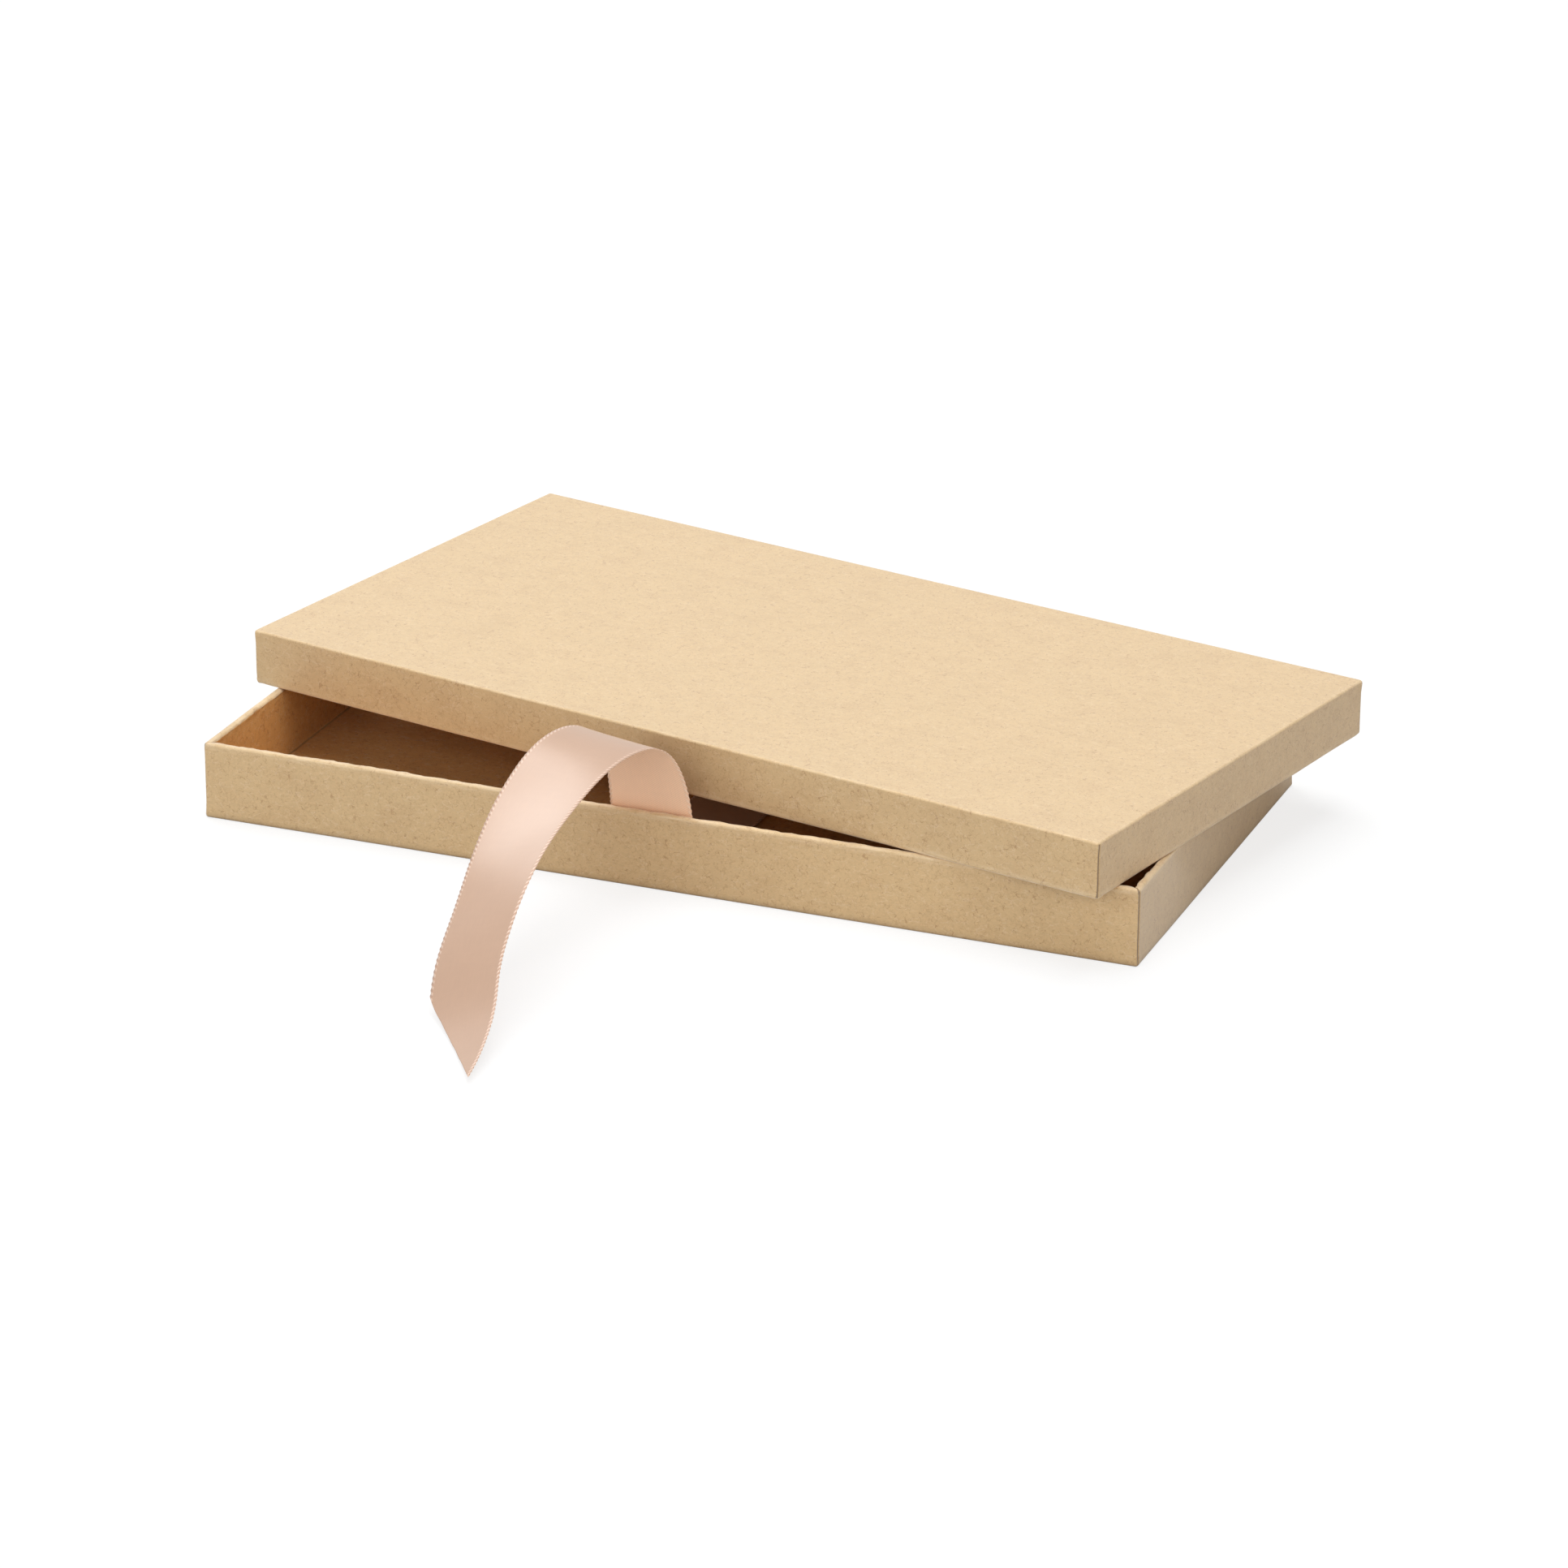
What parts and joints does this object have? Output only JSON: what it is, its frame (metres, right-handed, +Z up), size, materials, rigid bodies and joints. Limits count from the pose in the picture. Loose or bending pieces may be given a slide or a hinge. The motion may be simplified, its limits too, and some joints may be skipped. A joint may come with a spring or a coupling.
{
  "type": "gift card box",
  "caption": "Flat kraft gift box for a card: open tray, lift-off lid laid askew across its rim, and a satin ribbon that runs out over the front wall.",
  "frame": {"origin": "centre of the tray's underside, where the box stands", "axes": "+X along the long front wall, to the right; +Y to the back; +Z up, out of the open tray"},
  "size_m": [0.2484, 0.2644, 0.04],
  "materials": {
    "kraft_board": "uncoated natural brown kraft board with fine fibre flecks",
    "satin_ribbon": "pale pink woven satin, soft sheen on one face"
  },
  "bodies": {
    "root": {"tray": "kraft_board", "lid": "kraft_board", "ribbon": "satin_ribbon"}
  },
  "joints": []
}
